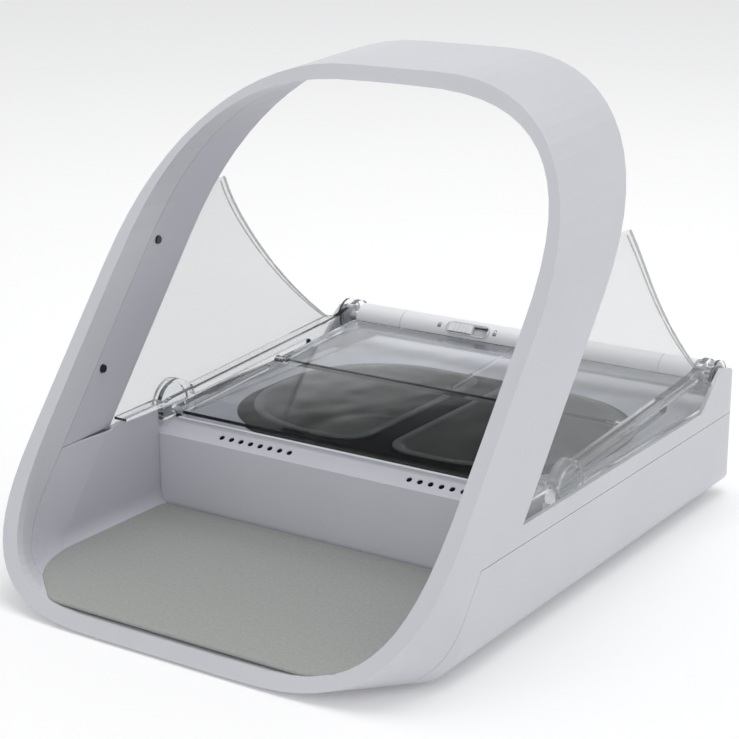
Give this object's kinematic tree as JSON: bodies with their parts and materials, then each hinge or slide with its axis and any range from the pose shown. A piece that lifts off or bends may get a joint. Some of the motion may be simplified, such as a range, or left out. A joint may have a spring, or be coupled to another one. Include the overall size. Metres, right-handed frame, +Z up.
{
  "type": "automatic pet feeder",
  "caption": "Free-standing pet feeder with a leaning arched hood over a matted tray, two half bowls under a clear folding motor-driven lid, and clear side panels.",
  "frame": {"origin": "centre of the footprint, on the surface that the feet stand on", "axes": "+X to the object's right seen from the front, +Y from the arch to the back, +Z up"},
  "size_m": [0.23, 0.324, 0.229],
  "materials": {
    "white_plastic": "satin",
    "inner_plastic": "satin",
    "mat_rubber": "matte",
    "bowl_plastic": "satin",
    "black_plastic": "gloss",
    "clear_plastic": "gloss",
    "steel": "brushed",
    "copper": "satin",
    "brass": "satin",
    "nylon": "matte",
    "board": "satin",
    "foot_rubber": "matte"
  },
  "bodies": {
    "base": {"base_shell": "white_plastic", "hood_shell": "white_plastic", "hood_liner": "inner_plastic", "antenna_coil": "copper", "tray_liner": "inner_plastic", "tray_mat": "mat_rubber", "bowl_deck": "inner_plastic", "bowl_left": "bowl_plastic", "bowl_right": "bowl_plastic", "sensor_lens_upper_left": "black_plastic", "sensor_lens_upper_right": "black_plastic", "sensor_lens_lower_left": "black_plastic", "sensor_lens_lower_right": "black_plastic", "rail_left": "clear_plastic", "rail_right": "clear_plastic", "side_wing_left": "clear_plastic", "side_wing_right": "clear_plastic", "hub_cap_left": "clear_plastic", "hub_cap_right": "clear_plastic", "rail_boss_left": "clear_plastic", "rail_boss_right": "clear_plastic", "idler_pin": "steel", "motor": "steel", "motor_bracket": "nylon", "battery_cell_front_left": "brass", "battery_cell_front_right": "brass", "battery_cell_rear_left": "brass", "battery_cell_rear_right": "brass", "battery_box_left": "inner_plastic", "battery_box_right": "inner_plastic", "battery_contact_left": "steel", "battery_contact_right": "steel", "circuit_board": "board", "foot_front_left": "foot_rubber", "foot_front_right": "foot_rubber", "foot_rear_left": "foot_rubber", "foot_rear_right": "foot_rubber", "base_screw_left": "steel", "base_screw_right": "steel"},
    "lid_rear": {"lid_rear_panel": "clear_plastic", "barrel": "white_plastic", "barrel_end_left": "white_plastic", "barrel_end_right": "white_plastic", "drive_shaft": "steel", "output_gear": "nylon"},
    "lid_front": {"lid_front_panel": "clear_plastic", "fold_pin_left": "black_plastic", "fold_pin_right": "black_plastic", "guide_pin_left": "steel", "guide_pin_right": "steel"},
    "lock": {"lock_slider": "white_plastic"},
    "idler": {"idler_gear": "nylon"},
    "pinion": {"motor_pinion": "brass", "motor_shaft": "steel"},
    "button_left": {"button_left": "foot_rubber"},
    "button_middle": {"button_middle": "foot_rubber"},
    "button_right": {"button_right": "foot_rubber"},
    "battery_door_left": {"battery_door_left": "white_plastic"},
    "battery_door_right": {"battery_door_right": "white_plastic"}
  },
  "joints": [
    {"name": "lid_open", "type": "hinge", "parent": "base", "child": "lid_rear", "pos_m": [0, 0.14, 0.064], "axis": [-1, 0, 0], "range_deg": [0, 72]},
    {"name": "lid_fold", "type": "hinge", "parent": "lid_rear", "child": "lid_front", "pos_m": [0, 0.059, 0.0587], "axis": [-1, 0, 0], "range_deg": [-144, 0]},
    {"name": "idler_spin", "type": "hinge", "parent": "base", "child": "idler", "pos_m": [0.1087, 0.14, 0.0461], "axis": [-1, 0, 0], "range_deg": [-60, 0]},
    {"name": "pinion_spin", "type": "hinge", "parent": "base", "child": "pinion", "pos_m": [0.1087, 0.14, 0.033], "axis": [-1, 0, 0], "range_deg": [0, 180]},
    {"name": "lock_slide", "type": "slide", "parent": "lid_rear", "child": "lock", "axis": [1, 0, 0], "range_m": [0, 0.0085]},
    {"name": "button_left_press", "type": "slide", "parent": "base", "child": "button_left", "axis": [0, -1, 0], "range_m": [0, 0.0015], "stiffness_N_per_m": 300},
    {"name": "button_middle_press", "type": "slide", "parent": "base", "child": "button_middle", "axis": [0, -1, 0], "range_m": [0, 0.0015], "stiffness_N_per_m": 300},
    {"name": "button_right_press", "type": "slide", "parent": "base", "child": "button_right", "axis": [0, -1, 0], "range_m": [0, 0.0015], "stiffness_N_per_m": 300},
    {"name": "battery_door_left_open", "type": "hinge", "parent": "base", "child": "battery_door_left", "pos_m": [-0.1107, 0.069, 0.006], "axis": [0, 1, 0], "range_deg": [0, 100]},
    {"name": "battery_door_right_open", "type": "hinge", "parent": "base", "child": "battery_door_right", "pos_m": [0.1107, 0.069, 0.006], "axis": [0, -1, 0], "range_deg": [0, 100]}
  ],
  "couplings": [
    {"joint": "lid_fold", "follows": "lid_open", "ratio": -2},
    {"joint": "idler_spin", "follows": "lid_open", "ratio": -0.83333},
    {"joint": "pinion_spin", "follows": "lid_open", "ratio": 2.5}
  ]
}
